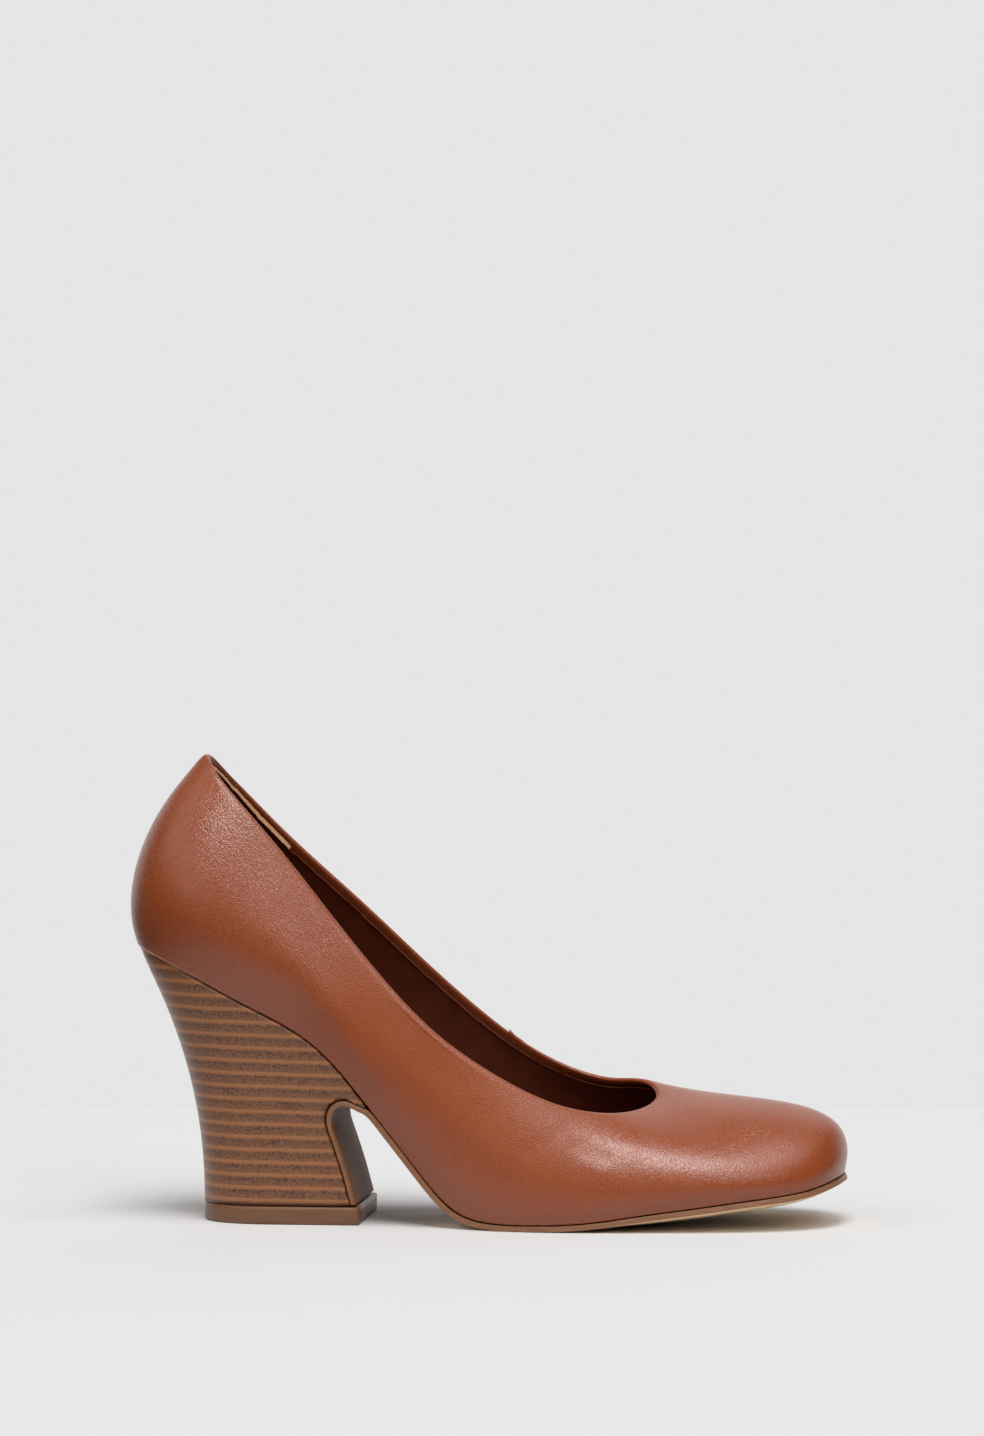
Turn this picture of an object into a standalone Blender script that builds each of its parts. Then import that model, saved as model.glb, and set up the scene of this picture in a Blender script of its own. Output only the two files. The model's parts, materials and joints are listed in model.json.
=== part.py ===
"""Block heel pump, right shoe: upper, outsole, heel block, top lift and insole.

X runs from heel to toe, -Y is the outer (lateral) side, +Z is up. The pattern tables are in
percent of the driving sizes below, so a change there grades the whole shoe.
"""
import math
from collections import namedtuple

import bmesh
import bpy
import numpy as np
from mathutils import Vector

MM = 0.001

# Driving sizes, in millimetres.
LENGTH = 226.0          # rearmost point of the upper to the toe, along the floor
BALL_WIDTH = 80.0       # last bottom across the ball
BACK_HEIGHT = 145.3     # floor to the top of the back
HEEL_HEIGHT = 86.7      # floor to the heel seat at the back
WALL = 1.6              # leather and lining of the upper
GAP = 0.3               # clearance between pieces that meet
SOLE_THICKNESS = 1.75
INSOLE_THICKNESS = 2.0
INSOLE_INSET = WALL + 0.6
SOLE_OVERHANG = 0.1     # outsole edge beyond the featherline
LIFT_HEIGHT = 5.5
LIFT_PROUD = 0.3        # top lift beyond the heel's foot
LIFT_EDGE = 0.4         # broken edge of the top lift
LIFT_FRONT = 75.3       # front of the top lift, from the rearmost point
HEEL_BACK_FOOT = 24.2   # back of the heel block at its foot, from the rearmost point
HEEL_FRONT = 78.1       # front of the heel block, where it ends in a wedge under the waist
HEEL_FOOT_HALF = 23.2   # half width of the heel's foot where its round back ends
HEEL_FOOT_FLARE = 0.9   # growth of that half width up to the breast
HEEL_FOOT_ROUND = 24.0  # length of the round back of the heel's foot
HEEL_ROUND_POWER = 2.4  # fullness of that round back, where 2 is an ellipse
HEEL_SWEEP = 2.12       # power of the concave sweep from foot to seat
HEEL_TURN_SHARE = 0.4   # share of the heel's length where its back has turned into its sides
TOE_ARC_ALONG = 91.0    # percent of length where the sheets' rounded toe ends start
HEEL_ARC_ALONG = 7.0    # percent of length where the insole's rounded heel end stops
ARC_FADE = 4            # power with which those round ends fade into straight rows
CUTTER_REACH = 20.0     # how far the cutters stand beyond what they cut

# Grid sizes.
UPPER_AROUND = 88
UPPER_UP = 16
SOLE_ROWS = 30
BREAST_ROWS = 20
SHEET_ACROSS = 14
INSOLE_ROWS = 26
HEEL_LEVELS = 12
HEEL_BACK_COLUMNS = 10
HEEL_SIDE_COLUMNS = 7
OUTLINE_SAMPLES = 720

# One row for each section round the shoe, from the back along the outer side to the toe and home.
# along and side place the featherline, top_along, top_side and top_up place the topline, in percent
# of length, half ball width and back height. rise and flare (mm) are how the wall leaves the sole,
# draw (mm) and lean (degrees from level) are how it comes to the topline.
Section = namedtuple("Section", "name along side top_along top_side top_up rise flare draw lean")
SECTIONS = [
    Section("back", 1.0, 0.0, 10.6, 0.0, 100.0, 18, 7.5, 22, 38),
    Section("heel_curve_outer", 4.6, -46.0, 13.1, -30.5, 95.6, 20, 6.5, 32, 51),
    Section("seat_outer", 13.1, -65.0, 17.65, -44.0, 88.1, 20, 5.8, 34, 66),
    Section("quarter_outer", 24.1, -66.0, 24.8, -51.0, 75.4, 18, 5.4, 29, 67),
    Section("waist_outer", 35.6, -66.0, 33.7, -60.5, 58.2, 16, 5.8, 25, 73),
    Section("shank_outer", 44.0, -75.0, 42.6, -72.0, 43.4, 17, 6.0, 16, 74),
    Section("joint_outer", 52.0, -91.0, 51.1, -77.0, 33.9, 15, 4.5, 15, 70),
    Section("ball_outer", 61.7, -99.5, 58.6, -76.0, 28.0, 11, 4.0, 14, 56),
    Section("vamp_outer", 73.2, -97.5, 64.4, -67.5, 25.3, 9, 3.7, 16, 43),
    Section("toe_side_outer", 86.0, -89.0, 69.2, -50.0, 24.6, 10, 3.8, 23, 26),
    Section("toe_corner_outer", 96.0, -61.0, 72.1, -25.0, 25.3, 15, 4.6, 31, 11),
    Section("tip", 99.5, 2.5, 73.5, 2.5, 27.3, 25, 7.0, 35, 4),
    Section("toe_corner_inner", 96.3, 65.0, 72.1, 30.0, 29.6, 17, 5.0, 31, 14),
    Section("toe_side_inner", 87.0, 91.5, 69.0, 50.0, 29.9, 14, 4.2, 24, 28),
    Section("ball_inner", 73.2, 97.5, 64.8, 64.0, 30.1, 13, 4.0, 18, 42),
    Section("joint_inner", 62.2, 89.0, 59.1, 70.0, 32.9, 16, 4.5, 16, 58),
    Section("shank_inner", 51.1, 65.0, 51.2, 67.5, 40.2, 19, 7.0, 18, 70),
    Section("waist_inner", 40.0, 51.0, 41.9, 60.0, 52.6, 19, 8.0, 22, 72),
    Section("quarter_inner", 26.8, 56.0, 31.4, 52.0, 68.2, 18, 6.6, 27, 68),
    Section("seat_inner", 13.5, 64.0, 20.8, 47.0, 83.3, 20, 5.8, 33, 67),
    Section("heel_curve_inner", 4.6, 46.0, 13.9, 34.0, 94.5, 20, 6.5, 32, 52),
]

# The bed is the face that upper and insole share with what is under them: its height at the edge and
# on the middle line, in percent of heel height. The middle hangs lower under the forefoot.
Bed = namedtuple("Bed", "name along edge middle")
BED = [
    Bed("seat_back", 0.0, 100.4, 100.4),
    Bed("seat", 9.9, 89.3, 89.3),
    Bed("seat_front", 18.0, 78.3, 78.3),
    Bed("waist_top", 28.5, 61.5, 61.5),
    Bed("waist", 35.3, 40.6, 40.6),
    Bed("shank", 42.1, 18.6, 18.6),
    Bed("shank_foot", 46.0, 7.6, 7.6),
    Bed("joint", 50.9, 2.9, 2.6),
    Bed("ball_back", 57.5, 2.4, 2.25),
    Bed("ball", 65.3, 3.5, 2.2),
    Bed("tread_front", 72.3, 6.2, 2.2),
    Bed("spring_start", 79.9, 8.9, 4.4),
    Bed("spring", 88.5, 11.9, 7.9),
    Bed("toe_box", 95.0, 14.4, 11.8),
    Bed("tip", 99.6, 18.2, 17.6),
]

# Heel side of the sole strip where it leaves the waist, turns over the notch and comes down the breast.
Turn = namedtuple("Turn", "name along height")
BREAST = [
    Turn("leave", 33.9, 42.2),
    Turn("crown", 31.3, 44.8),
    Turn("turn", 29.5, 42.9),
    Turn("breast_top", 28.75, 38.3),
    Turn("breast", 29.3, 31.6),
    Turn("breast_low", 30.8, 20.0),
    Turn("foot", 32.2, 6.7),
]
LEAVE_ALONG = (37.6, 36.3, 35.1)   # last places on the waist before the strip turns


def percent_x(along):
    return along * LENGTH / 100.0


def percent_y(side):
    return side * BALL_WIDTH / 200.0


def spline(knots, values):
    """Natural cubic spline through values at knots, as a function of an array of places."""
    knots = np.asarray(knots, float)
    values = np.asarray(values, float)
    count = len(knots)
    step = np.diff(knots)
    system = np.eye(count)
    right = np.zeros(values.shape)
    for i in range(1, count - 1):
        system[i, i - 1:i + 2] = step[i - 1], 2 * (step[i - 1] + step[i]), step[i]
        right[i] = 6 * ((values[i + 1] - values[i]) / step[i] - (values[i] - values[i - 1]) / step[i - 1])
    bend = np.linalg.solve(system, right)

    def at(places):
        places = np.asarray(places, float)
        i = np.clip(np.searchsorted(knots, places) - 1, 0, count - 2)
        width = step[i]
        after = (places - knots[i]) / width
        before = 1 - after
        if values.ndim > 1:
            after, before, width = after[..., None], before[..., None], width[..., None]
        curve = (before ** 3 - before) * bend[i] + (after ** 3 - after) * bend[i + 1]
        return before * values[i] + after * values[i + 1] + curve * width ** 2 / 6

    return at


def closed_spline(knots, values, period, overlap=4):
    """Cubic spline round a closed loop, made by running past the start and the end."""
    values = np.asarray(values, float)
    knots = np.asarray(knots, float)
    wide_knots = np.concatenate([knots[-overlap:] - period, knots, knots[:overlap] + period])
    wide_values = np.concatenate([values[-overlap:], values, values[:overlap]])
    return spline(wide_knots, wide_values)


def section_knots():
    """Distance round the featherline's corners at each section, and the whole way round."""
    corners = np.array([(percent_x(s.along), percent_y(s.side)) for s in SECTIONS])
    hops = np.linalg.norm(np.roll(corners, -1, axis=0) - corners, axis=1)
    return np.concatenate([[0.0], np.cumsum(hops)[:-1]]), hops.sum()


KNOTS, ROUND = section_knots()
FEATHER = closed_spline(KNOTS, [(percent_x(s.along), percent_y(s.side)) for s in SECTIONS], ROUND)
TOPLINE = closed_spline(
    KNOTS,
    [(percent_x(s.top_along), percent_y(s.top_side), s.top_up * BACK_HEIGHT / 100) for s in SECTIONS],
    ROUND,
)
HANDLES = closed_spline(KNOTS, [(s.rise, s.flare, s.draw, s.lean) for s in SECTIONS], ROUND)
BED_EDGE = spline([percent_x(b.along) for b in BED], [b.edge * HEEL_HEIGHT / 100 for b in BED])
BED_MIDDLE = spline([percent_x(b.along) for b in BED], [b.middle * HEEL_HEIGHT / 100 for b in BED])


def plan_normals(curve, places):
    """Unit normals in plan on the right hand of a loop's run, which is its outside here."""
    step = ROUND / OUTLINE_SAMPLES
    run = curve(places + step)[:, :2] - curve(places - step)[:, :2]
    run /= np.linalg.norm(run, axis=1)[:, None]
    return np.stack([run[:, 1], -run[:, 0]], axis=1)


def outline_sides(distance):
    """The featherline moved outward by a distance: its outer and inner side, each from back to toe."""
    places = np.linspace(0, ROUND, OUTLINE_SAMPLES, endpoint=False)
    points = FEATHER(places) + distance * plan_normals(FEATHER, places)
    loop = np.roll(points, -int(np.argmin(points[:, 0])), axis=0)
    toe = int(np.argmax(loop[:, 0]))
    outer = loop[:toe + 1]
    inner = np.concatenate([loop[:1], loop[toe:][::-1]])
    return outer, inner


FEATHER_OUTER, FEATHER_INNER = outline_sides(0.0)


def side_y(side, x):
    """Where a side of an outline is, in y, at a place along the shoe."""
    return np.interp(x, side[:, 0], side[:, 1])


def bed_height(x, y):
    """Height of the bed: the middle line's height at the centre, the edge's height at the sides."""
    outer = side_y(FEATHER_OUTER, x)
    inner = side_y(FEATHER_INNER, x)
    half = np.maximum((inner - outer) / 2, 1.0)
    across = np.clip(np.abs(y - (outer + inner) / 2) / half, 0, 1)
    edge = BED_EDGE(x)
    return edge + (BED_MIDDLE(x) - edge) * (1 - across ** 2)


def new_object(name, mesh, collection, colour, roughness):
    """Put a mesh in a collection as a named object with its own material."""
    material = bpy.data.materials.new(name + "_finish")
    material.use_nodes = True
    shader = material.node_tree.nodes["Principled BSDF"]
    shader.inputs["Base Color"].default_value = (*colour, 1.0)
    shader.inputs["Roughness"].default_value = roughness
    shader.inputs["Metallic"].default_value = 0.0
    mesh.materials.append(material)
    thing = bpy.data.objects.new(name, mesh)
    collection.objects.link(thing)
    return thing


def grid_mesh(name, rows, closed=False):
    """Quads between rows of points (mm). closed joins the last point of each row to its first."""
    shape = bmesh.new()
    vertices = [[shape.verts.new(Vector(point) * MM) for point in row] for row in rows]
    for low, high in zip(vertices, vertices[1:]):
        last = len(low) if closed else len(low) - 1
        for j in range(last):
            k = (j + 1) % len(low)
            shape.faces.new((low[j], low[k], high[k], high[j]))
    mesh = bpy.data.meshes.new(name)
    shape.to_mesh(mesh)
    shape.free()
    mesh.shade_smooth()
    return mesh


def prism_mesh(name, outline, pull):
    """A flat outline of corners (mm) pulled straight along a vector (mm) into a closed solid."""
    shape = bmesh.new()
    face = shape.faces.new([shape.verts.new(Vector(corner) * MM) for corner in outline])
    pulled = bmesh.ops.extrude_face_region(shape, geom=[face])
    far = [item for item in pulled["geom"] if isinstance(item, bmesh.types.BMVert)]
    bmesh.ops.translate(shape, verts=far, vec=Vector(pull) * MM)
    bmesh.ops.recalc_face_normals(shape, faces=shape.faces)
    mesh = bpy.data.meshes.new(name)
    shape.to_mesh(mesh)
    shape.free()
    return mesh


def new_cutter(name, outline, collection):
    """A prism right across the shoe from an outline in x and z (mm), used only to cut."""
    corners = [(x, -BALL_WIDTH, z) for x, z in outline]
    thing = bpy.data.objects.new(name, prism_mesh(name, corners, (0, 2 * BALL_WIDTH, 0)))
    thing.hide_render = True
    thing.display_type = "WIRE"
    collection.objects.link(thing)
    return thing


def solidify(thing, thickness, offset):
    """Give an open sheet its thickness on one side."""
    wall = thing.modifiers.new("thickness", "SOLIDIFY")
    wall.thickness = thickness * MM
    wall.offset = offset
    wall.use_even_offset = True
    wall.use_rim = True


def cut(thing, cutter):
    boolean = thing.modifiers.new("cut_" + cutter.name, "BOOLEAN")
    boolean.operation = "DIFFERENCE"
    boolean.object = cutter


def make_upper(collection):
    """One hollow wall: each section is a cubic arc from the featherline to the topline."""
    places = np.linspace(0, ROUND, UPPER_AROUND, endpoint=False)
    plan = FEATHER(places)
    foot = np.column_stack([plan, BED_EDGE(plan[:, 0])])
    top = TOPLINE(places)
    rise, flare, draw, lean = HANDLES(places).T[..., None]
    level = np.zeros(UPPER_AROUND)
    outward = np.column_stack([plan_normals(FEATHER, places), level])
    inward = -np.column_stack([plan_normals(TOPLINE, places), level])
    upright = np.array([0.0, 0.0, 1.0])
    arrival = np.cos(np.radians(lean)) * inward + np.sin(np.radians(lean)) * upright
    foot_handle = foot + rise * upright + flare * outward
    top_handle = top - draw * arrival
    rows = []
    for t in np.linspace(0, 1, UPPER_UP + 1):
        s = 1 - t
        rows.append(s ** 3 * foot + 3 * s * s * t * foot_handle + 3 * s * t * t * top_handle + t ** 3 * top)
    mesh = grid_mesh("upper", rows, closed=True)
    upper = new_object("upper", mesh, collection, (0.30, 0.085, 0.030), 0.40)
    solidify(upper, WALL, -1.0)
    return upper


def straight_row(sides, x):
    """Plan points straight across a sheet, from its outer to its inner side."""
    across = np.linspace(0, 1, SHEET_ACROSS + 1)
    outer, inner = (side_y(side, x) for side in sides)
    return np.column_stack([np.full(len(across), x), outer + (inner - outer) * across])


def arc_row(sides, x, toward):
    """Plan points round a sheet's end, outer to inner. toward is 1 at the toe and -1 at the heel."""
    ends = [side[toward * side[:, 0] >= toward * x][::toward] for side in sides]
    loop = np.concatenate([ends[0], ends[1][::-1][1:]])
    run = np.concatenate([[0], np.cumsum(np.linalg.norm(np.diff(loop, axis=0), axis=1))])
    spread = np.linspace(0, run[-1], SHEET_ACROSS + 1)
    return np.column_stack([np.interp(spread, run, loop[:, k]) for k in (0, 1)])


def sheet_rows(distance, places, round_heel):
    """Plan rows of a sheet edged by the offset featherline. Rows near a round end bow out to meet it."""
    sides = outline_sides(distance)
    first, last = places[0], places[-1]
    toe_bow = arc_row(sides, last, 1) - straight_row(sides, last)
    heel_bow = 0 * toe_bow
    if round_heel:
        heel_bow = arc_row(sides, first, -1) - straight_row(sides, first)
    rows = []
    for x in places:
        share = (x - first) / (last - first)
        rows.append(straight_row(sides, x) + toe_bow * share ** ARC_FADE + heel_bow * (1 - share) ** ARC_FADE)
    return rows


def on_bed(row, lift):
    """Plan points laid on the bed, lifted by a distance."""
    heights = bed_height(row[:, 0], row[:, 1]) + lift
    return np.column_stack([row, heights])


def breast_path():
    """The strip's heel side in x and z, from the waist over the notch to the foot of the breast."""
    waist = [(percent_x(along), float(BED_EDGE(percent_x(along))) - GAP) for along in LEAVE_ALONG]
    turn = [(percent_x(t.along), t.height * HEEL_HEIGHT / 100) for t in BREAST]
    points = np.array(waist + turn)
    run = np.concatenate([[0], np.cumsum(np.linalg.norm(np.diff(points, axis=0), axis=1))])
    return spline(run, points), run[len(waist) - 1], run[-1]


def heel_foot_half(share):
    """Half width of the heel's foot at a share of its length from the back."""
    run = share * (HEEL_FRONT - HEEL_BACK_FOOT)
    into = min(run / HEEL_FOOT_ROUND, 1.0)
    rounded = (1 - (1 - into) ** HEEL_ROUND_POWER) ** (1 / HEEL_ROUND_POWER)
    return HEEL_FOOT_HALF * rounded + HEEL_FOOT_FLARE * share


def heel_wall(share, height, hand):
    """Point on the heel's side at a share of its length and height. hand is -1 outside, 1 inside."""
    seat_back = percent_x(SECTIONS[0].along)
    seat_x = seat_back + share * (HEEL_FRONT - seat_back)
    seat_y = side_y(FEATHER_OUTER if hand < 0 else FEATHER_INNER, seat_x)
    seat_z = float(BED_EDGE(seat_x)) - GAP
    foot_x = HEEL_BACK_FOOT + share * (HEEL_FRONT - HEEL_BACK_FOOT)
    foot_y = hand * heel_foot_half(share)
    foot_z = LIFT_HEIGHT + GAP
    sweep = height ** HEEL_SWEEP
    x = foot_x + (seat_x - foot_x) * sweep
    y = foot_y + (seat_y - foot_y) * sweep
    return x, y, foot_z + (seat_z - foot_z) * height


def heel_width_at(x, z, hand):
    """The y of the heel's side at a place in x and z, found by closing in on its share and height."""
    share, height = 1.0, 0.5
    for _ in range(30):
        wall = heel_wall(share, height, hand)
        share = float(np.clip(share + (x - wall[0]) / HEEL_FRONT, 0, 1))
        height = float(np.clip(height + (z - wall[2]) / HEEL_HEIGHT, 0, 1))
    return heel_wall(share, height, hand)[1]


def make_outsole(collection, floor):
    """One strip: the tread from the toe to the waist, then over the notch and down the breast."""
    across = np.linspace(0, 1, SHEET_ACROSS + 1)
    path, leave, foot = breast_path()
    rows = []
    for place in np.linspace(foot, leave, BREAST_ROWS + 1)[:-1]:
        x, z = path(place)
        outer = heel_width_at(x, z, -1)
        inner = heel_width_at(x, z, 1)
        rows.append([(x, outer + (inner - outer) * share, z) for share in across])
    places = np.linspace(percent_x(LEAVE_ALONG[-1]), percent_x(TOE_ARC_ALONG), SOLE_ROWS + 1)
    rows += [on_bed(row, -GAP) for row in sheet_rows(SOLE_OVERHANG, places, round_heel=False)]
    outsole = new_object("outsole", grid_mesh("outsole", rows), collection, (0.20, 0.085, 0.035), 0.45)
    solidify(outsole, SOLE_THICKNESS, 1.0)
    cut(outsole, floor)
    return outsole


def make_insole(collection):
    """The foot bed, a sheet inside the upper that lies over the sole and the heel seat."""
    places = np.linspace(percent_x(HEEL_ARC_ALONG), percent_x(TOE_ARC_ALONG), INSOLE_ROWS + 1)
    rows = [on_bed(row, GAP) for row in sheet_rows(-INSOLE_INSET, places, round_heel=True)]
    insole = new_object("insole", grid_mesh("insole", rows), collection, (0.10, 0.035, 0.018), 0.60)
    solidify(insole, INSOLE_THICKNESS, -1.0)
    return insole


def heel_shares():
    """Places along the heel from back to front, close together round the back."""
    turns = [math.pi / 2 * k / HEEL_BACK_COLUMNS for k in range(HEEL_BACK_COLUMNS + 1)]
    back = [HEEL_TURN_SHARE * (1 - math.cos(turn)) for turn in turns]
    step = (1 - HEEL_TURN_SHARE) / HEEL_SIDE_COLUMNS
    return back + [HEEL_TURN_SHARE + step * (k + 1) for k in range(HEEL_SIDE_COLUMNS)]


def make_heel_block(collection, notch):
    """Stacked heel: columns swept from the small round foot up to the seat, then notched in front."""
    heights = [level / HEEL_LEVELS for level in range(HEEL_LEVELS + 1)]
    outer_columns = [[heel_wall(share, height, -1) for height in heights] for share in heel_shares()]
    inner_columns = [[heel_wall(share, height, 1) for height in heights] for share in heel_shares()]
    shape = bmesh.new()
    outer = [[shape.verts.new(Vector(point) * MM) for point in column] for column in outer_columns]
    inner = [[shape.verts.new(Vector(point) * MM) for point in column] for column in inner_columns[1:]]
    inner.insert(0, outer[0])
    for side in (outer, inner):
        for a, b in zip(side, side[1:]):
            for k in range(HEEL_LEVELS):
                shape.faces.new((a[k], b[k], b[k + 1], a[k + 1]))
    for end in (0, HEEL_LEVELS):
        shape.faces.new((outer[0][end], outer[1][end], inner[1][end]))
        for k in range(1, len(outer) - 1):
            m = k + 1
            shape.faces.new((outer[k][end], outer[m][end], inner[m][end], inner[k][end]))
    for k in range(HEEL_LEVELS):
        shape.faces.new((outer[-1][k], outer[-1][k + 1], inner[-1][k + 1], inner[-1][k]))
    bmesh.ops.recalc_face_normals(shape, faces=shape.faces)
    mesh = bpy.data.meshes.new("heel_block")
    shape.to_mesh(mesh)
    shape.free()
    heel = new_object("heel_block", mesh, collection, (0.25, 0.12, 0.055), 0.42)
    cut(heel, notch)
    return heel


def notch_outline():
    """The notch in front of the heel block: the strip's heel side moved back by the gap."""
    path, leave, foot = breast_path()
    places = np.linspace(leave, foot, 2 * BREAST_ROWS + 1)
    points = path(places)
    run = np.gradient(points, axis=0)
    run /= np.linalg.norm(run, axis=1)[:, None]
    moved = points + GAP * np.column_stack([run[:, 1], -run[:, 0]])
    front = HEEL_FRONT + CUTTER_REACH
    corners = [(moved[-1, 0], 0.0), (front, 0.0), (front, moved[0, 1])]
    return [tuple(point) for point in moved] + corners


def make_top_lift(collection):
    """The wear piece: the heel's foot a little larger, with its edges just broken."""
    length = HEEL_FRONT - HEEL_BACK_FOOT
    front = (LIFT_FRONT - HEEL_BACK_FOOT) / length
    shares = [share for share in heel_shares() if share < front] + [front]
    outer = [(HEEL_BACK_FOOT - LIFT_PROUD, 0.0, 0.0)]
    for share in shares[1:]:
        outer.append((HEEL_BACK_FOOT + share * length, -heel_foot_half(share) - LIFT_PROUD, 0.0))
    inner = [(x, -y, z) for x, y, z in reversed(outer[1:])]
    mesh = prism_mesh("top_lift", outer + inner, (0, 0, LIFT_HEIGHT))
    lift = new_object("top_lift", mesh, collection, (0.13, 0.065, 0.032), 0.38)
    edge = lift.modifiers.new("broken_edge", "BEVEL")
    edge.width = LIFT_EDGE * MM
    edge.segments = 1
    edge.limit_method = "ANGLE"
    return lift


def stand_on_origin(parts, cutters):
    """Move everything so that the middle of the shoe's box stands on the origin."""
    graph = bpy.context.evaluated_depsgraph_get()
    corners = np.array([corner[:] for part in parts for corner in part.evaluated_get(graph).bound_box])
    middle = (corners.min(axis=0) + corners.max(axis=0)) / 2
    for thing in parts + cutters:
        thing.location = (-middle[0], -middle[1], 0.0)


def main():
    for thing in list(bpy.data.objects):
        bpy.data.objects.remove(thing, do_unlink=True)
    shoe = bpy.data.collections.new("block_heel_pump")
    tools = bpy.data.collections.new("cutters")
    bpy.context.scene.collection.children.link(shoe)
    bpy.context.scene.collection.children.link(tools)
    front = LENGTH + CUTTER_REACH
    under_floor = [(-CUTTER_REACH, -CUTTER_REACH), (front, -CUTTER_REACH), (front, 0), (-CUTTER_REACH, 0)]
    floor = new_cutter("floor", under_floor, tools)
    notch = new_cutter("notch", notch_outline(), tools)
    parts = [
        make_upper(shoe),
        make_outsole(shoe, floor),
        make_insole(shoe),
        make_heel_block(shoe, notch),
        make_top_lift(shoe),
    ]
    stand_on_origin(parts, [floor, notch])


main()
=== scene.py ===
# %% [markdown]
# # Dressing a block heel pump
# The solids of the shoe are already built at their real size. This lesson loads them as a fixed frame,
# refines a copy of each one into the leather, lining, sole and heel that the eye sees, and lights it
# all in a small pale studio. Lengths are metres, as in Blender, and MM turns the shoemaker's
# millimetres into them.

# %% Load the solids
import json
import math

import bmesh
import bpy
import numpy as np
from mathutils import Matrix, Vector

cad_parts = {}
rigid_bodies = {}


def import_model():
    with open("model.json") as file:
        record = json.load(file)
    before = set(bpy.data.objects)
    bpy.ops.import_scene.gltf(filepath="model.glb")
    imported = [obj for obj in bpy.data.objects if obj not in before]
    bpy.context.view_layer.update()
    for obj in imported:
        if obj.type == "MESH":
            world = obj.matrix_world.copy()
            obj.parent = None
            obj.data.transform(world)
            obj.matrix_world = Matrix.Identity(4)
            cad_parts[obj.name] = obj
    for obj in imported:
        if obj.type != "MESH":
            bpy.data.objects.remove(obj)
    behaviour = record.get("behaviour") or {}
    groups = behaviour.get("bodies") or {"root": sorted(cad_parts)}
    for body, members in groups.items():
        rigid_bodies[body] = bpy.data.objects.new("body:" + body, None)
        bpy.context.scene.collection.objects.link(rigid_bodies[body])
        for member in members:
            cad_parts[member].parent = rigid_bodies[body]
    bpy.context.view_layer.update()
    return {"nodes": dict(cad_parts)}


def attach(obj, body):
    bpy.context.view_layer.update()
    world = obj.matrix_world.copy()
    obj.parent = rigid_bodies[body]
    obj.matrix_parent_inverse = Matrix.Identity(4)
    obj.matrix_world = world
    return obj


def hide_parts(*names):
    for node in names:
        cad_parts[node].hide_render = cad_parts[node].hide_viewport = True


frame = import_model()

MM = 0.001

# %% [markdown]
# ## The camera
# The shoe is seen from its outer side with the toe turned a little to the viewer. A long lens a little
# higher than the collar keeps the sole line almost straight. The lens follows from how many pixels a
# metre of shoe takes, so the frame is the same at any render size.

# %% Camera
PHOTO_WIDTH = 984            # pixels
PIXELS_PER_METRE = 3190      # at the waist of the shoe
VIEW_DISTANCE = 1.5
VIEW_HEIGHT = 157 * MM
VIEW_TURN = math.radians(5.5)
VIEW_WAIST = Vector((1.6, 0.3, 0)) * MM

toward_viewer = Vector((math.sin(VIEW_TURN), -math.cos(VIEW_TURN), 0))
eye = VIEW_WAIST + VIEW_DISTANCE * toward_viewer + Vector((0, 0, VIEW_HEIGHT))
bpy.ops.object.camera_add(location=eye, rotation=(math.pi / 2, 0, VIEW_TURN))
camera = bpy.context.object
camera.data.sensor_fit = "HORIZONTAL"
camera.data.lens = camera.data.sensor_width * PIXELS_PER_METRE * VIEW_DISTANCE / PHOTO_WIDTH
bpy.context.scene.camera = camera
print("camera lens:", round(camera.data.lens, 1), "mm")

# %% [markdown]
# ## Colours and nodes
# Colours are easiest to write as the hex codes of a paint program, which are sRGB, while shader sockets
# take linear light, so one function turns the first into the second. A second function adds a node,
# makes its settings and joins its sockets, which keeps each material a short list of what its surface
# is made of.

# %% Helpers for materials
def linear(hex_code):
    """An sRGB hex colour as linear RGBA."""
    channels = [int(hex_code[i:i + 2], 16) / 255 for i in (1, 3, 5)]
    return [*(c / 12.92 if c <= 0.04045 else ((c + 0.055) / 1.055) ** 2.4 for c in channels), 1.0]


def add_node(tree, kind, inputs=(), stops=(), **settings):
    """Add a node, make its settings, fill its sockets, and link each one that is given another socket."""
    node = tree.nodes.new("ShaderNode" + kind)
    for name, value in settings.items():
        setattr(node, name, value)
    for name, value in dict(inputs).items():
        if isinstance(value, bpy.types.NodeSocket):
            tree.links.new(value, node.inputs[name])
        else:
            node.inputs[name].default_value = value
    if stops:
        elements = node.color_ramp.elements
        elements.remove(elements[1])
        elements[0].position, elements[0].color = stops[0]
        for place, colour in stops[1:]:
            elements.new(place).color = colour
    return node


def new_material(name):
    """A material with its Principled shader, and the Object coordinates that its patterns read."""
    material = bpy.data.materials.new(name)
    material.use_nodes = True
    tree = material.node_tree
    return material, tree, tree.nodes["Principled BSDF"], add_node(tree, "TexCoord").outputs["Object"]


def per_mm(size):
    """Texture scale for a pattern whose grain is this many millimetres."""
    return 1 / (size * MM)


print("cognac in linear light:", [round(c, 3) for c in linear("#97471f")])

# %% [markdown]
# ## The studio
# A sheet of pale matt paper lies under the shoe and ends a forearm behind it, where an even grey takes
# over. A tall soft box hangs high over the viewer and draws the long highlight down the side of the
# leather, a broad one on each side lights the toe and the heel, two low ones fill in the walls, and a
# pale wall and two boxes behind brighten the rims. Each box is placed by how far it is turned round the
# shoe and how high it stands, as a photographer would say it.

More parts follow.
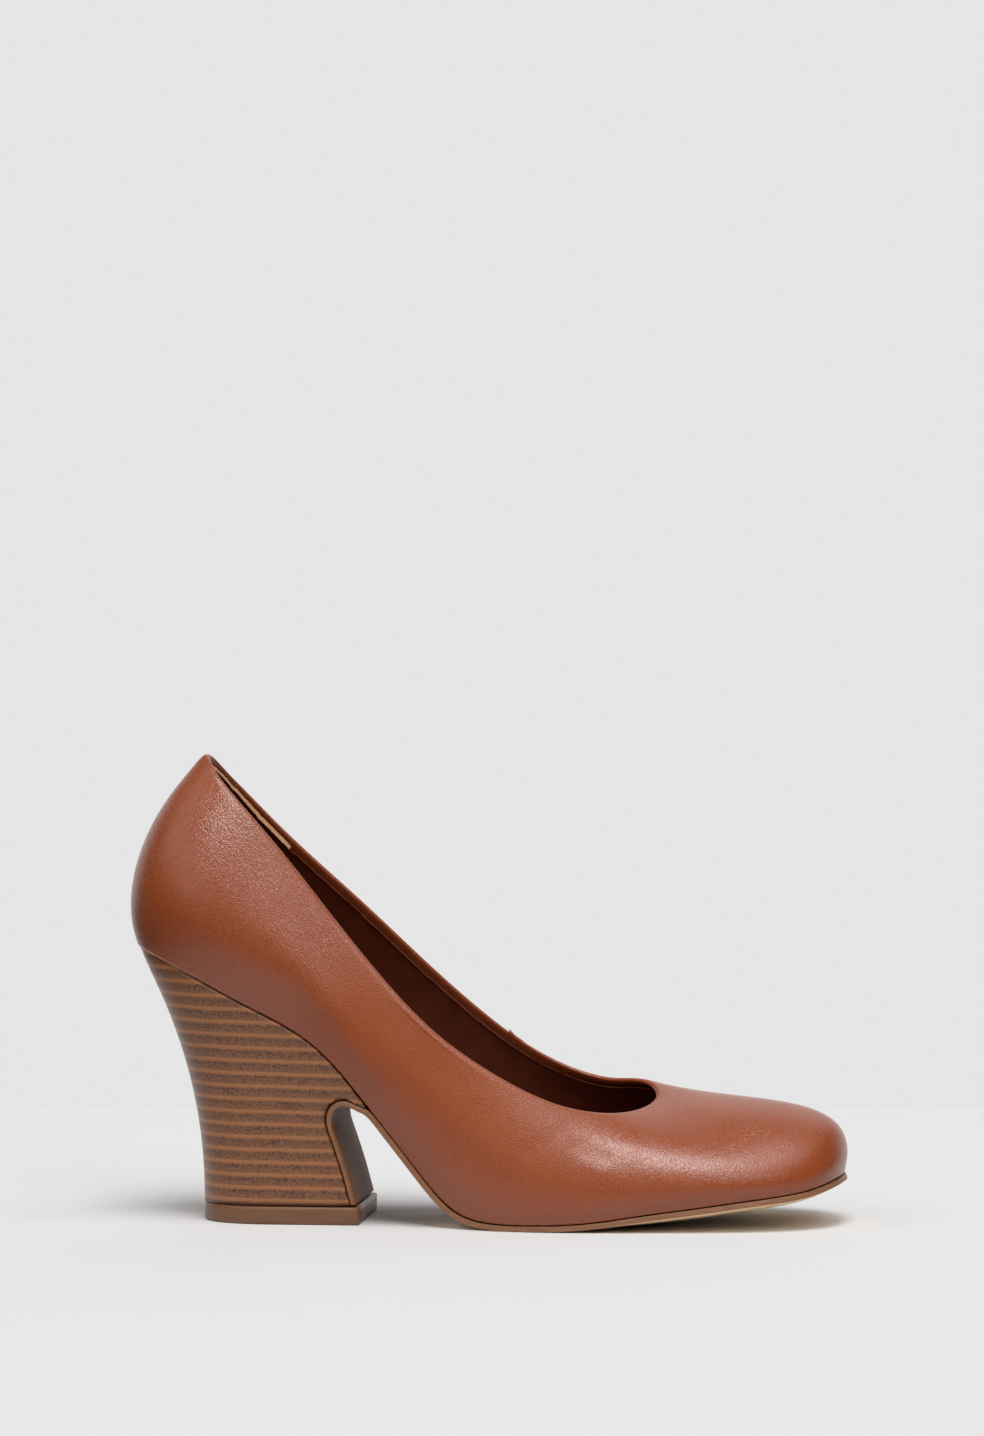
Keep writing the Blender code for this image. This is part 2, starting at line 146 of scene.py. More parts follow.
# %% Floor and room
FLOOR_SIDE = 0.26
FLOOR_FRONT = 0.48
FLOOR_BEHIND = 0.42
bpy.ops.object.select_all(action="DESELECT")
bpy.ops.mesh.primitive_plane_add(size=2)
floor = bpy.context.object
floor.name = "studio_paper"
bpy.ops.transform.resize(value=(FLOOR_SIDE, (FLOOR_FRONT + FLOOR_BEHIND) / 2, 1))
bpy.ops.transform.translate(value=(0, (FLOOR_BEHIND - FLOOR_FRONT) / 2, 0))
bpy.ops.object.transform_apply(location=True, rotation=True, scale=True)
floor.rotation_euler.z = VIEW_TURN
bpy.ops.object.transform_apply(location=True, rotation=True, scale=True)

# Uncoated paper: hardly any gloss, and a pale grey that is a trace lighter toward the back,
# where less light falls.
PAPER_NEAR = -0.45           # m, where the paper begins to get lighter
paper, tree, shader, place = new_material("studio_paper_matt")
depth = add_node(tree, "SeparateXYZ", {0: place})
fade = add_node(tree, "MapRange", {
    "Value": depth.outputs["Y"], "From Min": PAPER_NEAR, "From Max": FLOOR_BEHIND})
tone = add_node(tree, "ValToRGB", {"Fac": fade.outputs[0]}, stops=[
    (0.0, linear("#dedede")), (1.0, linear("#eeeeee"))])
tree.links.new(tone.outputs["Color"], shader.inputs["Base Color"])
shader.inputs["Roughness"].default_value = 0.95
shader.inputs["Specular IOR Level"].default_value = 0.1
floor.data.materials.append(paper)

ROOM_SEEN = 0.785            # how bright the room looks behind the shoe
ROOM_DARK = 0.06             # light from the dark side of the room, behind the viewer
ROOM_BRIGHT = 0.95           # light from the pale wall behind the shoe
ROOM_UP = 0.4                # and from higher up on that wall
room = bpy.data.worlds.new("studio_room")
room.use_nodes = True
bpy.context.scene.world = room
tree = room.node_tree
tree.nodes.clear()
way = add_node(tree, "SeparateXYZ", {0: add_node(tree, "TexCoord").outputs["Generated"]})
low = add_node(tree, "MapRange", {
    "Value": way.outputs["Z"], "From Min": 0.15, "From Max": 0.50,
    "To Min": ROOM_BRIGHT, "To Max": ROOM_UP}, interpolation_type="SMOOTHSTEP")
wall = add_node(tree, "MapRange", {
    "Value": way.outputs["Y"], "From Min": 0.66, "From Max": 0.94,
    "To Min": ROOM_DARK, "To Max": low.outputs[0]}, interpolation_type="SMOOTHSTEP")
seen = add_node(tree, "Background", {"Color": (1, 1, 1, 1), "Strength": ROOM_SEEN})
thrown = add_node(tree, "Background", {"Color": (1, 1, 1, 1), "Strength": wall.outputs[0]})
path = add_node(tree, "LightPath")
mixed = add_node(tree, "MixShader", {
    0: path.outputs["Is Camera Ray"], 1: thrown.outputs[0], 2: seen.outputs[0]})
add_node(tree, "OutputWorld", {"Surface": mixed.outputs[0]})
print("paper reaches", FLOOR_BEHIND, "m behind the shoe")

# %% Soft boxes
BOX_DISTANCE = 4.0
# name, degrees round from the viewer and up from the floor, sides (m), brightness
SOFT_BOXES = [
    ("key_box", 7, 67, (1.4, 2.7), 8.6),
    ("right_box", 67, 64, (2.7, 2.1), 1.55),
    ("low_right_box", 27, 34, (1.7, 1.4), 2.6),
    ("low_left_box", 328, 29, (2.6, 1.7), 1.2),
    ("left_box", 285, 45, (2.4, 2.4), 1.1),
    ("back_box", 170, 44, (3.0, 2.3), 0.7),
    ("rim_box", 225, 14, (1.4, 2.2), 0.6),
]
for name, turn, rise, (wide, tall), glow in SOFT_BOXES:
    turn, rise = math.radians(turn), math.radians(rise)
    away = Vector((math.cos(rise) * math.sin(turn), -math.cos(rise) * math.cos(turn), math.sin(rise)))
    bpy.ops.object.light_add(type="AREA", location=BOX_DISTANCE * away,
                             rotation=(-away).to_track_quat("-Z", "Y").to_euler())
    box = bpy.context.object
    box.name = name
    box.data.shape = "RECTANGLE"
    box.data.size, box.data.size_y = wide, tall
    box.data.energy = glow * math.pi * wide * tall
    print("light", name, round(box.data.energy, 1), "W")
bpy.context.scene.view_settings.view_transform = "Standard"

# %% [markdown]
# ## Working on a copy of a solid
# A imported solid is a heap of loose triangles. To model on, it is copied, its doubled corners are merged
# and its triangles are paired back into quads, which is what Subdivision Surface likes best. Faces are
# then picked the way a hand would: click one face at a place, and grow the choice to the sharp edges
# round it.

# %% Helpers for modelling
SHARP = math.radians(50)


def only(piece):
    """Make one object the only selected and active one."""
    bpy.ops.object.select_all(action="DESELECT")
    piece.select_set(True)
    bpy.context.view_layer.objects.active = piece


def edit(piece, kind):
    """Go into edit mode with nothing selected. kind is VERT, EDGE or FACE."""
    only(piece)
    bpy.ops.object.mode_set(mode="EDIT")
    bpy.ops.mesh.select_mode(type=kind)
    bpy.ops.mesh.select_all(action="DESELECT")


def leave():
    """Go back to object mode."""
    bpy.ops.object.mode_set(mode="OBJECT")


def new_piece(name, mesh):
    """A new object at the origin that shows a mesh of its own."""
    piece = bpy.data.objects.new(name, mesh)
    bpy.context.scene.collection.objects.link(piece)
    return piece


def copy_of(node, name):
    """A merged copy of a solid, with quads and with its sharp edges marked."""
    piece = new_piece(name, frame["nodes"][node].data.copy())
    piece.data.materials.clear()
    edit(piece, "EDGE")
    bpy.ops.mesh.select_all(action="SELECT")
    bpy.ops.mesh.remove_doubles(threshold=0.001 * MM)
    bpy.ops.mesh.tris_convert_to_quads(
        face_threshold=math.radians(35), shape_threshold=math.radians(80), topology_influence=1.5)
    bpy.ops.mesh.select_all(action="DESELECT")
    bpy.ops.mesh.edges_select_sharp(sharpness=SHARP)
    bpy.ops.mesh.mark_sharp()
    leave()
    corners = [len(face.vertices) for face in piece.data.polygons]
    print(name, "quads:", corners.count(4), "triangles:", corners.count(3))
    return piece


def pick(piece, kind, test):
    """In edit mode, add to the choice the verts, edges or faces that pass a test."""
    shape = bmesh.from_edit_mesh(piece.data)
    for item in getattr(shape, kind):
        if test(item):
            item.select_set(True)
    shape.select_flush_mode()
    bmesh.update_edit_mesh(piece.data)


def pick_side(piece, near, facing):
    """In edit mode, choose the side of a piece that faces a way near a place, up to its sharp edges."""
    bpy.ops.mesh.select_mode(type="FACE")
    bpy.ops.mesh.select_all(action="DESELECT")
    shape = bmesh.from_edit_mesh(piece.data)
    reach = 20 * MM
    best = max(shape.faces, key=lambda face: face.normal.dot(facing)
               - (face.calc_center_median() - near).length / reach)
    best.select_set(True)
    bmesh.update_edit_mesh(piece.data)
    bpy.ops.mesh.select_linked(delimit={"SHARP"})


def refine(piece, levels):
    """Apply a Subdivision Surface and shade the piece smooth."""
    only(piece)
    smooth = piece.modifiers.new("refine", "SUBSURF")
    smooth.levels = smooth.render_levels = levels
    bpy.ops.object.modifier_apply(modifier=smooth.name)
    bpy.ops.object.shade_smooth()


# %% [markdown]
# ## The upper
# The real upper is one skin of calf leather drawn over a last and lasted under at the edge of the sole.
# Its solid already has that form, so a copy is refined. The two rims of the open bottom get a crease,
# so that the feather line stays tight on the sole. At the collar the skin is folded over a tape: an
# inset gives the fold its width, and the rims are then drawn in with proportional editing, so that the
# wall rolls over softly and catches a long highlight.

# %% Upper: skin and folded edge
BACK_SKIN = Vector((-112, 0, 100)) * MM
BACK_LINING = Vector((-109, 0, 100)) * MM
COLLAR_OUTER = Vector((-36.7, -24.3, 84.6)) * MM
COLLAR_INNER = Vector((-36.7, -22.7, 84.6)) * MM
BALL_FEATHER = Vector((29, -39, 2.6)) * MM
FEATHER_CREASE = 0.8
FOLD_WIDTH = 2.6 * MM
ROLL_WIDTH = 3.8 * MM
ROLL_OUTER = 1.7 * MM        # how far the roll draws in the outer rim
ROLL_INNER = 1.0 * MM        # and the inner rim
TIP_FROM = 143 * MM          # the top of the back begins here
TIP_UP = 1.1 * MM            # what refining takes off that top, put on before
TIP_REACH = 9 * MM


def pick_loop(piece, near, test):
    """In edit mode, choose the loop of edges through the nearest edge to a place that passes a test."""
    bpy.ops.mesh.select_mode(type="EDGE")
    bpy.ops.mesh.select_all(action="DESELECT")
    shape = bmesh.from_edit_mesh(piece.data)
    nearest = min(filter(test, shape.edges),
                  key=lambda edge: ((edge.verts[0].co + edge.verts[1].co) / 2 - near).length)
    nearest.select_set(True)
    bmesh.update_edit_mesh(piece.data)
    bpy.ops.mesh.loop_multi_select(ring=False)


def pick_rim(piece, near):
    """In edit mode, choose the whole rim, sharp or open, that passes nearest to a place."""
    pick_loop(piece, near, lambda edge: edge.is_boundary or not edge.smooth)


def roll_rim(piece, side, facing, rim, amount):
    """Move the rim of one side along its normals, and the wall below it less and less."""
    edit(piece, "EDGE")
    pick_rim(piece, rim)
    chosen = {v.index for v in bmesh.from_edit_mesh(piece.data).verts if v.select}
    pick_side(piece, side, facing)
    bpy.ops.mesh.hide(unselected=True)
    bpy.ops.mesh.select_mode(type="VERT")
    bpy.ops.mesh.select_all(action="DESELECT")
    pick(piece, "verts", lambda v: v.index in chosen)
    bpy.ops.transform.shrink_fatten(value=amount, use_proportional_edit=True,
                                    proportional_edit_falloff="SHARP", proportional_size=ROLL_WIDTH)
    bpy.ops.mesh.reveal(select=False)
    leave()
    print(piece.name, "rim of", len(chosen), "points moved", round(amount / MM, 2), "mm")


upper = copy_of("upper", "upper_leather")
edit(upper, "FACE")
pick_side(upper, BALL_FEATHER, Vector((0, 0, -1)))
bpy.ops.mesh.region_to_loop()
bpy.ops.transform.edge_crease(value=FEATHER_CREASE)
leave()
cage = upper.data.copy()
edit(upper, "FACE")
pick_side(upper, BACK_SKIN, Vector((-1, 0, 0)))
bpy.ops.mesh.inset(thickness=FOLD_WIDTH)
bpy.ops.mesh.region_to_loop()
lowest = {edge.index for edge in bmesh.from_edit_mesh(upper.data).edges if edge.select}
pick_loop(upper, BALL_FEATHER, lambda edge: edge.index in lowest)
bpy.ops.mesh.dissolve_edges(use_verts=True)
leave()
roll_rim(upper, BACK_SKIN, Vector((-1, 0, 0)), COLLAR_OUTER, -ROLL_OUTER)
roll_rim(upper, BACK_LINING, Vector((1, 0, 0)), COLLAR_INNER, ROLL_INNER)
edit(upper, "VERT")
pick(upper, "verts", lambda v: v.co.z > TIP_FROM)
bpy.ops.transform.translate(value=(0, 0, TIP_UP), use_proportional_edit=True,
                            proportional_edit_falloff="SMOOTH", proportional_size=TIP_REACH)
leave()
refine(upper, 2)
highest = max(v.co.z for v in upper.data.vertices)
print("upper:", len(upper.data.polygons), "faces, top", round(highest / MM, 1), "mm")

# %% [markdown]
# ## Creases
# Where the throat was pulled round the last the leather keeps a soft dent and a few low folds, and the
# waist and the ball keep shallow waves. Each is placed on the side of the shoe: the points
# along it are moved along their normal with proportional editing, which is how one would push a soft
# trough or pull up a ridge.

# %% Upper: main creases
# name, side (-1 outer, 1 inner), start and end in x and z (mm), reach (mm) and depth (mm), negative
# for a ridge
CREASES = [
    ("throat dent", -1, (32.0, 26.5), (39.0, 23.0), 4.6, 0.30),
    ("dent ridge above", -1, (37.0, 30.0), (48.0, 25.5), 6.0, -0.18),
    ("dent ridge below", -1, (34.0, 20.5), (43.0, 18.0), 5.5, -0.12),
    ("throat fold", -1, (16.0, 25.0), (28.0, 31.0), 4.0, 0.14),
    ("waist wave", -1, (-22.0, 62.0), (-8.0, 46.0), 9.0, 0.28),
    ("quarter wave", -1, (-60.0, 96.0), (-44.0, 76.0), 9.0, 0.20),
    ("shank wave", -1, (-14.0, 30.0), (4.0, 17.0), 8.0, 0.22),
    ("inner ball fold", 1, (28.0, 30.0), (38.0, 22.0), 4.5, 0.35),
    ("inner ball ridge", 1, (34.0, 34.0), (44.0, 26.0), 5.0, -0.20),
    ("inner waist wave", 1, (-24.0, 66.0), (-10.0, 50.0), 9.0, 0.28),
]
edit(upper, "FACE")
pick_side(upper, BACK_SKIN, Vector((-1, 0, 0)))
bpy.ops.mesh.hide(unselected=True)
bpy.ops.mesh.select_mode(type="VERT")
for name, side, start, end, reach, depth in CREASES:
    bpy.ops.mesh.select_all(action="DESELECT")
    shape = bmesh.from_edit_mesh(upper.data)
    shown = [v for v in shape.verts if not v.hide and v.co.y * side > 0]
    places = np.array([(v.co.x, v.co.z) for v in shown]) / MM
    along = np.linspace(start, end, int(math.dist(start, end)) + 2)
    nearest = {int(np.argmin(np.hypot(*(places - spot).T))) for spot in along}
    normal = sum((shown[k].normal for k in nearest), Vector()).normalized()
    for k in nearest:
        shown[k].select_set(True)
    bmesh.update_edit_mesh(upper.data)
    bpy.ops.transform.translate(value=-depth * MM * normal, use_proportional_edit=True,
                                proportional_edit_falloff="SMOOTH", proportional_size=reach * MM)
bpy.ops.mesh.reveal(select=False)
leave()
print("creases:", len(CREASES))

# %% [markdown]
# ## The seam at the inner waist
# A skin this long is closed by one seam, and here it sits on the inner side of the waist, away from the
# eye. Cuts with Bisect give the mesh edges along the seam, and its line is pushed in as a groove. At
# the collar the front half's folded end stands a little proud of the back half, which shows from the
# outer side as a small step.

# %% Upper: waist seam
SEAM_TOP = Vector((4.4, 27, 57)) * MM
SEAM_NORMAL = Vector((0.97, 0, -0.24)).normalized()
SEAM_HALF = 0.45 * MM
SEAM_DEPTH = 0.4 * MM
SEAM_BAND = 6 * MM           # faces this near to the seam are cut
ON_LINE = 0.02 * MM          # points this near count as on the seam's line
COLLAR_FALL = 0.72           # how far the collar falls for each step forward, here
COLLAR_EDGE = 1.5 * MM       # what lies this near to the collar's top is lifted
# up to how far in front of the seam (mm) the collar is lifted, and by how much (mm)
PROUD_STEPS = [(0.9, 0.5), (2.4, 0.3), (5.0, 0.25)]


def past_seam(place):
    """How far a place is in front of the seam's plane."""
    return (place - SEAM_TOP).dot(SEAM_NORMAL)


edit(upper, "FACE")
for shift in (-SEAM_HALF, SEAM_HALF, 0):
    bpy.ops.mesh.select_all(action="DESELECT")
    bpy.ops.mesh.select_mode(type="FACE")
    pick(upper, "faces", lambda face: face.calc_center_median().y > 0
         and abs(past_seam(face.calc_center_median())) < SEAM_BAND)
    bpy.ops.mesh.bisect(plane_co=SEAM_TOP + shift * SEAM_NORMAL, plane_no=SEAM_NORMAL)
bpy.ops.mesh.select_mode(type="VERT")
seam_line = {v.index for v in bmesh.from_edit_mesh(upper.data).verts
             if v.co.y > 0 and abs(past_seam(v.co)) < ON_LINE and v.normal.y > 0.3}
bpy.ops.mesh.select_all(action="DESELECT")
pick(upper, "verts", lambda v: v.index in seam_line)
bpy.ops.transform.shrink_fatten(value=-SEAM_DEPTH)
collar_top = max(v.co.z for v in bmesh.from_edit_mesh(upper.data).verts
                 if v.co.y > 0 and abs(past_seam(v.co)) < 0.5 * MM)
for reach, lift in PROUD_STEPS:
    bpy.ops.mesh.select_all(action="DESELECT")
    pick(upper, "verts", lambda v: v.co.y > 0 and 0.2 * MM < past_seam(v.co) < reach * MM
         and v.co.z > collar_top - COLLAR_FALL * past_seam(v.co) - COLLAR_EDGE)
    bpy.ops.transform.translate(value=(0, 0, lift * MM))
bpy.ops.mesh.select_mode(type="EDGE")
bpy.ops.mesh.select_all(action="SELECT")
bpy.ops.mesh.mark_sharp(clear=True)
leave()
print("waist seam under a collar at", round(collar_top / MM, 1), "mm")

# %% [markdown]
# ## Where the leather wrinkles
# Besides the creases there are wrinkles as fine as hairs, under the collar of the quarters and beside
# the throat. They are too fine to model, so the mesh only carries soft masks that say where they are,
# and the material draws them. A mask fades with the distance from a line that runs through the wrinkled
# place. A third mask marks the waist, where the skin was not pulled tight and took less polish. A last
# one is painted shade: the band where the wall turns down toward the sole, which gets less light, is
# given a darker colour.

# %% Upper: wrinkle masks and a painted shade mask
# attribute, then lines from start to end (x, y, z in mm) and how far each reaches (mm)
WRINKLES = {
    "collar_wrinkles": [((-88, -14, 134), (-50, -25, 88), 26), ((-88, 14, 134), (-50, 25, 88), 26)],
    "throat_wrinkles": [((16, -36, 27), (38, -32, 30), 13), ((20, 34, 34), (36, 33, 30), 11)],
    "slack_skin": [((-40, -24, 66), (21, -35, 29), 25), ((-40, 24, 66), (21, 34, 34), 25)],
}
places = np.array([v.co for v in upper.data.vertices]) / MM
for name, lines in WRINKLES.items():
    mask = np.zeros(len(places))
    for start, end, reach in lines:
        start, run = np.array(start, float), np.subtract(end, start).astype(float)
        share = np.clip((places - start) @ run / (run @ run), 0, 1)
        away = np.linalg.norm(places - start - share[:, None] * run, axis=1)
        mask = np.maximum(mask, np.clip(1 - away / reach, 0, 1))
    mask = mask * mask * (3 - 2 * mask)
    attribute = upper.data.attributes.new(name, "FLOAT", "POINT")
    attribute.data.foreach_set("value", mask.astype(np.float32))
    print(name, "covers", round(100 * float((mask > 0.2).mean())), "% of the skin")

# Painted shade: the colour darkens where the skin's normal turns down past the top limit, and the darkening
# fades out again near the foot limit.
SHADE_TOP, SHADE_IN = 0.2, 0.45
SHADE_FOOT, SHADE_OUT = -0.55, 0.25
upward = np.array([v.normal.z for v in upper.data.vertices])
painted_low_shade = np.minimum(np.clip((SHADE_TOP - upward) / SHADE_IN, 0, 1),
                     np.clip((upward - SHADE_FOOT) / SHADE_OUT, 0, 1))
attribute = upper.data.attributes.new("painted_low_shade", "FLOAT", "POINT")
attribute.data.foreach_set("value", painted_low_shade.astype(np.float32))
print("burnish covers", round(100 * float((painted_low_shade > 0.2).mean())), "% of the skin")

# %% [markdown]
# ## Calf leather, cognac
# Aniline calf with a light wax finish: a warm orange brown with small cloudy differences, and a fine
# pebble grain about a millimetre wide that breaks up the light of the soft boxes. Each pebble is a flat
# little plateau between narrow valleys, which is what the distance to the edge of a Voronoi cell gives.
# Stretched cells of the same kind are the long hair-fine wrinkles where the skin was pulled over the
# collar.

# %% Leather material
PEBBLE = (1.2, 0.8, 0.8)     # mm, one pebble of the grain, longest along the pull
WRINKLE = (5.5, 1.0, 1.0)    # mm, the skin between two wrinkles
VALLEY = 0.25                # share of a pebble that slopes into its valley
CLOUD = 22.0                 # mm across one cloud of colour
WARP = 0.5                   # mm, how far the cells are bent out of their straight sides
GRAIN_DEPTH = 0.036          # mm

leather, tree, shader, place = new_material("cognac_calf_leather")
cloud = add_node(tree, "TexNoise", {
    "Vector": place, "Scale": per_mm(CLOUD), "Detail": 4.0, "Roughness": 0.6})
tone = add_node(tree, "ValToRGB", {"Fac": cloud.outputs["Fac"]}, stops=[
    (0.25, linear("#97471f")), (0.75, linear("#9e4c22"))])
# Painted shade: where the wall turns down toward the sole, the cognac is mixed toward a darker brown.
painted_shade_mask = add_node(tree, "Attribute", attribute_name="painted_low_shade")
tone_with_painted_shade = add_node(tree, "Mix", {0: painted_shade_mask.outputs["Fac"], 6: tone.outputs["Color"], 7: linear("#8a401c")},
               data_type="RGBA")
bend = add_node(tree, "TexNoise", {"Vector": place, "Scale": per_mm(1.5), "Detail": 1.0})
bent = add_node(tree, "VectorMath", {0: bend.outputs["Color"], 1: (WARP * MM,) * 3, 2: place},
                operation="MULTIPLY_ADD")
relief = add_node(tree, "TexNoise", {"Vector": place, "Scale": per_mm(6.0), "Detail": 1.0}).outputs["Fac"]
# size of a cell, turn about the shoe's width (degrees) so that it lies along the pull, mask, height
for size, turn, mask, height in ((PEBBLE, 50, None, 1.0), (WRINKLE, 55, "collar_wrinkles", 1.0),
                                 (WRINKLE, -35, "throat_wrinkles", 0.8)):
    laid = add_node(tree, "Mapping", {"Vector": bent.outputs[0], "Rotation": (0, math.radians(turn), 0),
                                      "Scale": [side * MM for side in size]}, vector_type="TEXTURE")
    cells = add_node(tree, "TexVoronoi", {"Vector": laid.outputs[0], "Scale": 1.0},
                     feature="DISTANCE_TO_EDGE")
    hill = add_node(tree, "MapRange", {
        "Value": cells.outputs["Distance"], "From Max": VALLEY, "To Max": height},
        interpolation_type="SMOOTHSTEP")
    if mask:
        where = add_node(tree, "Attribute", attribute_name=mask)
        masked = add_node(tree, "Math", {0: where.outputs["Fac"], 1: height}, operation="MULTIPLY")
        tree.links.new(masked.outputs[0], hill.inputs["To Max"])
    relief = add_node(tree, "Math", {0: hill.outputs[0], 1: relief}, operation="ADD").outputs[0]
skin = add_node(tree, "Bump", {"Height": relief, "Strength": 1.0, "Distance": GRAIN_DEPTH * MM})
polish = add_node(tree, "MapRange", {"Value": cloud.outputs["Fac"], "From Min": 0.3, "From Max": 0.7,
                                     "To Min": 0.26, "To Max": 0.29})
slack = add_node(tree, "Attribute", attribute_name="slack_skin")
wax = add_node(tree, "MapRange", {
    "Value": slack.outputs["Fac"], "To Min": polish.outputs[0], "To Max": 0.40})
shine = add_node(tree, "MapRange", {"Value": slack.outputs["Fac"], "To Min": 0.75, "To Max": 0.42})
tree.links.new(tone_with_painted_shade.outputs[2], shader.inputs["Base Color"])
tree.links.new(skin.outputs["Normal"], shader.inputs["Normal"])
tree.links.new(wax.outputs[0], shader.inputs["Roughness"])
tree.links.new(shine.outputs[0], shader.inputs["Specular IOR Level"])
shader.inputs["IOR"].default_value = 1.5
upper.data.materials.append(leather)
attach(upper, "root")
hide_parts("upper")
print(leather.name, len(tree.nodes), "nodes")

# %% [markdown]
# ## The lining
# A thin dyed lining covers the inside of the wall. It was sewn under the folded edge and then trimmed
# by hand, so its raw edge stops a few millimetres below the collar, stands off a little and runs
# slightly wavy. The inner side of the same cage gives it: an inset finds the line of the cut, and the
# strip above it is deleted.

# %% Lining: shape
LINING_BELOW = 2.4 * MM      # from the collar down to the cut
LINING_OFF = 0.35 * MM       # between the wall and the lining
LINING_THICK = 0.4 * MM
LINING_FLARE = 0.55 * MM     # how much further the cut stands off
LINING_WAVER = 0.16 * MM
LINING_SEED = 7
THROAT_LOW = 26 * MM         # open edges lower than this are left straight
# The upright seams, where the lining stops and the heel's grip begins, lie in one plane.
GRIP_SEAM = Vector((-63.6, 0, 115.5)) * MM
GRIP_NORMAL = Vector((0.98, 0, -0.2))


def inner_sheet(name, below):
    """The inner side of the wall as a sheet of its own that ends some way below the collar."""
    sheet = new_piece(name, cage.copy())
    edit(sheet, "FACE")
    pick_side(sheet, BACK_LINING, Vector((1, 0, 0)))
    bpy.ops.mesh.select_all(action="INVERT")
    bpy.ops.mesh.delete(type="FACE")
    bpy.ops.mesh.select_all(action="SELECT")
    bpy.ops.mesh.inset(thickness=below)
    pick_rim(sheet, COLLAR_INNER)
    bpy.ops.mesh.select_mode(type="VERT")
    bpy.ops.mesh.select_more()
    bpy.ops.mesh.select_mode(type="FACE")
    bpy.ops.mesh.delete(type="FACE")
    bpy.ops.mesh.select_all(action="SELECT")
    bpy.ops.transform.shrink_fatten(value=LINING_OFF)
    pick_rim(sheet, COLLAR_INNER)
    bpy.ops.transform.shrink_fatten(value=LINING_FLARE)
    leave()
    return sheet


def raw_edge(sheet, waver, seed, thickness):
    """Refine a sheet, let its trimmed edge waver and thicken it. The cut shows its last material."""
    refine(sheet, 2)
    edit(sheet, "EDGE")
    pick(sheet, "edges", lambda edge: edge.is_boundary and edge.verts[0].co.z > THROAT_LOW
         and all(face.normal.z < 0.9 for face in edge.link_faces))
    bpy.ops.transform.vertex_random(offset=waver, seed=seed)
    leave()
    wall = sheet.modifiers.new("thickness", "SOLIDIFY")
    wall.thickness = thickness
    wall.offset = 1.0
    wall.material_offset_rim = max(len(sheet.data.materials) - 1, 0)
    bpy.ops.object.modifier_apply(modifier=wall.name)
    bpy.ops.object.shade_smooth_by_angle(angle=math.radians(40))
    print(sheet.name, len(sheet.data.polygons), "faces")


lining = inner_sheet("lining", LINING_BELOW)
edit(lining, "FACE")
bpy.ops.mesh.select_all(action="SELECT")
bpy.ops.mesh.bisect(plane_co=GRIP_SEAM, plane_no=GRIP_NORMAL, clear_inner=True)
leave()
raw_edge(lining, LINING_WAVER, LINING_SEED, LINING_THICK)

# %% [markdown]
# ## Lining leather
# Dyed pigskin with a dull finish: dark red brown, barely any gloss, a few soft clouds and a fine tooth.
# Deep in the shoe it goes almost black, which is the shade's doing and not the dye's.

# %% Lining material
lining_leather, tree, shader, place = new_material("dyed_pigskin_lining")
cloud = add_node(tree, "TexNoise", {"Vector": place, "Scale": per_mm(9.0), "Detail": 3.0})
tone = add_node(tree, "ValToRGB", {"Fac": cloud.outputs["Fac"]}, stops=[
    (0.30, linear("#57220f")), (0.70, linear("#662a13"))])
tooth = add_node(tree, "TexNoise", {"Vector": place, "Scale": per_mm(0.7), "Detail": 3.0})
nap = add_node(tree, "Bump", {"Height": tooth.outputs["Fac"], "Strength": 0.3, "Distance": 0.15 * MM})
tree.links.new(tone.outputs["Color"], shader.inputs["Base Color"])
tree.links.new(nap.outputs["Normal"], shader.inputs["Normal"])
shader.inputs["Roughness"].default_value = 0.55
shader.inputs["Specular IOR Level"].default_value = 0.3
lining.data.materials.append(lining_leather)
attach(lining, "root")
print(lining_leather.name, len(tree.nodes), "nodes")

# %% [markdown]
# ## The heel grip
# Round the heel a thicker grip takes the lining's place. It is split suede, dyed like the lining on the
# side of the foot, and only its cut edge shows the pale tan of the hide. It ends on each side at an
# upright seam and reaches higher than the lining, so the raw edge runs as a pale fibrous line inside
# the collar.

# %% Heel grip
GRIP_BELOW = 0.5 * MM
GRIP_THICK = 1.5 * MM
GRIP_WAVER = 0.2 * MM
GRIP_SEED = 3
GRIP_GAP = 0.2 * MM          # between the grip's ends and the lining
GRIP_FALL = [(-95, 0.3), (-85, 0.3), (-75, 0.3)]

# Raw edge of split suede: hardly any gloss, a soft pale bloom at glancing light, and short fibres that
# show as mottling.
suede, tree, shader, place = new_material("tan_split_suede_edge")
nap = add_node(tree, "TexNoise", {"Vector": place, "Scale": per_mm(0.8), "Detail": 4.0, "Roughness": 0.7})
tone = add_node(tree, "ValToRGB", {"Fac": nap.outputs["Fac"]}, stops=[
    (0.30, linear("#b07c58")), (0.70, linear("#d8a67e"))])
fuzz = add_node(tree, "Bump", {"Height": nap.outputs["Fac"], "Strength": 0.7, "Distance": 0.3 * MM})
tree.links.new(tone.outputs["Color"], shader.inputs["Base Color"])
tree.links.new(fuzz.outputs["Normal"], shader.inputs["Normal"])
shader.inputs["Roughness"].default_value = 0.9
shader.inputs["Specular IOR Level"].default_value = 0.15
shader.inputs["Sheen Weight"].default_value = 0.1

grip = inner_sheet("heel_grip", GRIP_BELOW)
